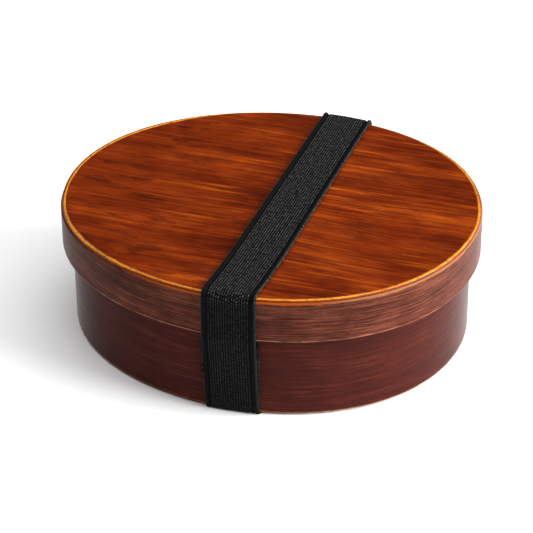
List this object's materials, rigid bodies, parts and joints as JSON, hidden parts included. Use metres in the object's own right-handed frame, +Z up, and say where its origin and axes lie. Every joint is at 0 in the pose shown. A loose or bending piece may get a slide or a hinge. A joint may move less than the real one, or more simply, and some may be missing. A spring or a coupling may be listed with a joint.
{
  "type": "bento lunch box",
  "caption": "Oval bentwood lunch box with a deep covering lid, a loose divider inside and an elastic band holding it shut.",
  "frame": {"origin": "middle of the underside of the band the box stands on, under the centre of the oval", "axes": "+X along the box's long axis, +Y across it towards the lap joints at the back, +Z up through the lid"},
  "size_m": [0.1664, 0.152, 0.0547],
  "materials": {
    "body_lacquered_wood": "satin red-brown lacquer, fine grain round the wall",
    "lid_hoop_wood": "satin brown lacquer, worn golden on its upper edge",
    "lid_top_lacquered_wood": "gloss amber lacquer over straight dark grain",
    "inner_wood": "satin lacquer",
    "cherry_bark": "satin bark strip",
    "black_elastic": "woven ribbed elastic",
    "black_thread": "sewing thread"
  },
  "bodies": {
    "box": {"body_wall": "body_lacquered_wood", "body_base": "body_lacquered_wood", "body_bark_stitching": "cherry_bark"},
    "lid": {"lid_hoop": "lid_hoop_wood", "lid_top": "lid_top_lacquered_wood", "lid_bark_stitching": "cherry_bark"},
    "divider": {"divider": "inner_wood"},
    "band": {"band_lower": "black_elastic", "band_thread": "black_thread"},
    "band_top": {"band_upper": "black_elastic"}
  },
  "joints": [
    {"name": "lid_lift", "type": "slide", "parent": "box", "child": "lid", "axis": [0, 0, 1], "range_m": [0, 0.05]},
    {"name": "divider_lift", "type": "slide", "parent": "box", "child": "divider", "axis": [0, 0, 1], "range_m": [0, 0.045]},
    {"name": "band_slide", "type": "slide", "parent": "box", "child": "band", "axis": [1, 0, 0], "range_m": [0, 0.09]},
    {"name": "band_stretch", "type": "slide", "parent": "band", "child": "band_top", "axis": [0, 0, 1], "range_m": [0, 0.05]}
  ],
  "couplings": [
    {"joint": "divider_lift", "follows": "lid_lift", "ratio": 0.9},
    {"joint": "band_stretch", "follows": "lid_lift", "ratio": 1}
  ]
}
